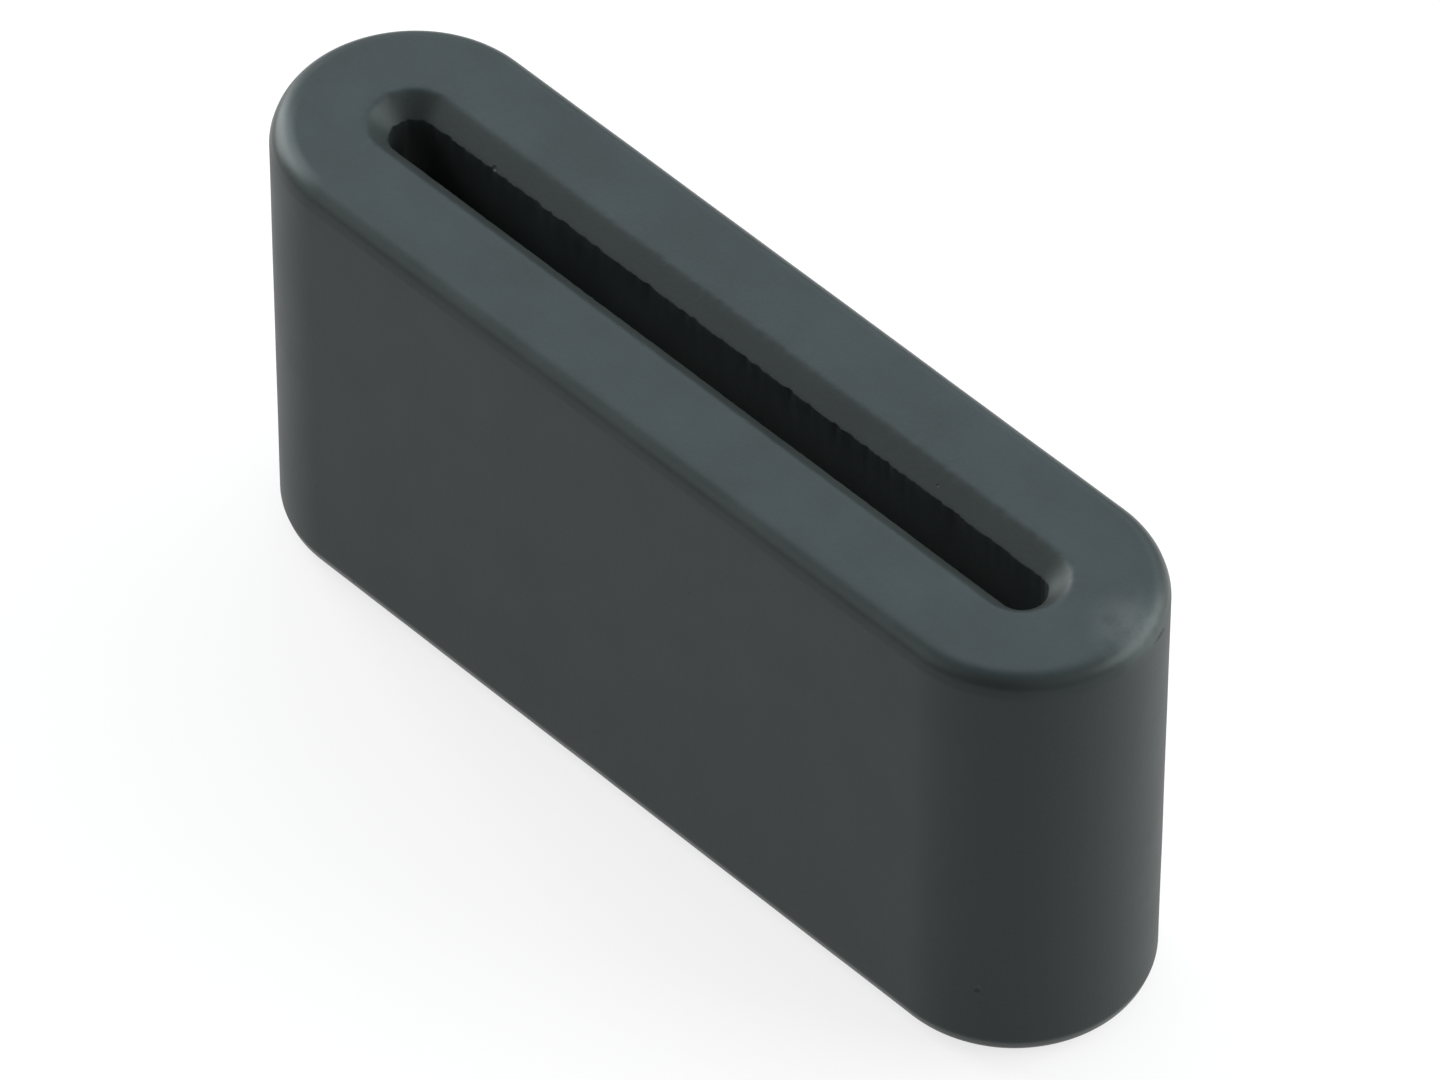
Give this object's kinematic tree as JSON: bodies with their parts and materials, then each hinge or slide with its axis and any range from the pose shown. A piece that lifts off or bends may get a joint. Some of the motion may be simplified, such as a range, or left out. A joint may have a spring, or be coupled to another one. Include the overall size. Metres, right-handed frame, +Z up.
{
  "type": "flat cable ferrite core",
  "caption": "Oval one-piece ferrite core with rounded rims and a flared slot through its height, slipped over a flat ribbon cable to damp high-frequency noise.",
  "frame": {"origin": "middle of the oval outline, on the lower end face that the core stands on", "axes": "+X along the length of the oval, +Y across its width, +Z up through the cable slot"},
  "size_m": [0.0254, 0.0064, 0.012],
  "materials": {
    "ferrite": "fired ferrite, dark slightly blue grey with a soft satin sheen"
  },
  "bodies": {
    "root": {"ferrite_core": "ferrite"}
  },
  "joints": []
}
